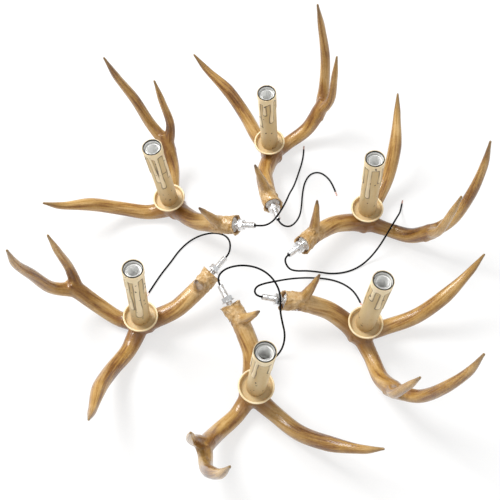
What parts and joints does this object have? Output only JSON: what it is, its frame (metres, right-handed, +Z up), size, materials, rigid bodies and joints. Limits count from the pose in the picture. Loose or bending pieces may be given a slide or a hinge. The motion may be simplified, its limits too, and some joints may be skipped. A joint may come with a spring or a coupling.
{
  "type": "antler chandelier",
  "caption": "Antler arms of a chandelier lying in a ring, each with a drip pan, candle sleeve, lamp socket, threaded base tube and lead.",
  "frame": {"origin": "on the surface that the arms lie on, in the middle of the box round them", "axes": "+Z up from the surface; +Y away from the picture's viewer, along the longer side of the ring; +X to the viewer's right"},
  "size_m": [0.546, 0.607, 0.2139],
  "materials": {
    "antler": "cast resin, stained golden brown, satin gloss",
    "wax": "wax-look sleeve and dish, warm beige",
    "liner": "dark fibre paper",
    "holder": "white insulating body",
    "steel": "plated, bright",
    "shell": "plated, bright",
    "contact": "dull",
    "plug": "white casting plug",
    "lead": "black flexible cover",
    "copper": "bare tinned strands"
  },
  "bodies": {
    "arms": {"antler_a": "antler", "antler_b": "antler", "antler_c": "antler", "antler_d": "antler", "antler_e": "antler", "antler_f": "antler", "drip_pan_a": "wax", "drip_pan_b": "wax", "drip_pan_c": "wax", "drip_pan_d": "wax", "drip_pan_e": "wax", "drip_pan_f": "wax", "lamp_holder_a": "holder", "lamp_holder_b": "holder", "lamp_holder_c": "holder", "lamp_holder_d": "holder", "lamp_holder_e": "holder", "lamp_holder_f": "holder", "lead_a": "lead", "lead_b": "lead", "lead_c": "lead", "lead_d": "lead", "lead_e": "lead", "lead_f": "lead", "base_plugs": "plug", "arm_nipples": "steel", "washers": "steel", "inner_leads": "lead", "stem_nipples": "steel", "stem_nuts": "steel", "screw_shells": "shell", "centre_contacts": "contact", "lead_tips": "copper"},
    "candle_a": {"candle_sleeve_a": "wax", "sleeve_liner_a": "liner"},
    "nut_a": {"hex_nut_a": "steel"},
    "candle_b": {"candle_sleeve_b": "wax", "sleeve_liner_b": "liner"},
    "nut_b": {"hex_nut_b": "steel"},
    "candle_c": {"candle_sleeve_c": "wax", "sleeve_liner_c": "liner"},
    "nut_c": {"hex_nut_c": "steel"},
    "candle_d": {"candle_sleeve_d": "wax", "sleeve_liner_d": "liner"},
    "nut_d": {"hex_nut_d": "steel"},
    "candle_e": {"candle_sleeve_e": "wax", "sleeve_liner_e": "liner"},
    "nut_e": {"hex_nut_e": "steel"},
    "candle_f": {"candle_sleeve_f": "wax", "sleeve_liner_f": "liner"},
    "nut_f": {"hex_nut_f": "steel"}
  },
  "joints": [
    {"name": "candle_lift_a", "type": "slide", "parent": "arms", "child": "candle_a", "axis": [-0.055, -0.1404, 0.9886], "range_m": [0, 0.13]},
    {"name": "nut_turn_a", "type": "hinge", "parent": "arms", "child": "nut_a", "pos_m": [0.02448, 0.0851, 0.03527], "axis": [0.2281, -0.9565, 0.1821], "continuous": true},
    {"name": "candle_lift_b", "type": "slide", "parent": "arms", "child": "candle_b", "axis": [-0.0577, -0.0744, 0.9956], "range_m": [0, 0.13]},
    {"name": "nut_turn_b", "type": "hinge", "parent": "arms", "child": "nut_b", "pos_m": [0.05352, 0.02126, 0.04151], "axis": [-0.6947, -0.6875, 0.2114], "continuous": true},
    {"name": "candle_lift_c", "type": "slide", "parent": "arms", "child": "candle_c", "axis": [0.0285, -0.0604, 0.9978], "range_m": [0, 0.13]},
    {"name": "nut_turn_c", "type": "hinge", "parent": "arms", "child": "nut_c", "pos_m": [0.02326, -0.06258, 0.05886], "axis": [-0.944, 0.0084, 0.3298], "continuous": true},
    {"name": "candle_lift_d", "type": "slide", "parent": "arms", "child": "candle_d", "axis": [0.0695, -0.0712, 0.995], "range_m": [0, 0.13]},
    {"name": "nut_turn_d", "type": "hinge", "parent": "arms", "child": "nut_d", "pos_m": [-0.03642, -0.06485, 0.06461], "axis": [-0.46, 0.7965, 0.3924], "continuous": true},
    {"name": "candle_lift_e", "type": "slide", "parent": "arms", "child": "candle_e", "axis": [0.0513, -0.0085, 0.9986], "range_m": [0, 0.13]},
    {"name": "nut_turn_e", "type": "hinge", "parent": "arms", "child": "nut_e", "pos_m": [-0.05182, -0.01235, 0.0466], "axis": [0.6592, 0.7002, 0.2742], "continuous": true},
    {"name": "candle_lift_f", "type": "slide", "parent": "arms", "child": "candle_f", "axis": [-0.0808, -0.0717, 0.9942], "range_m": [0, 0.13]},
    {"name": "nut_turn_f", "type": "hinge", "parent": "arms", "child": "nut_f", "pos_m": [-0.01878, 0.04548, 0.05848], "axis": [0.8927, -0.2763, 0.3561], "continuous": true}
  ]
}
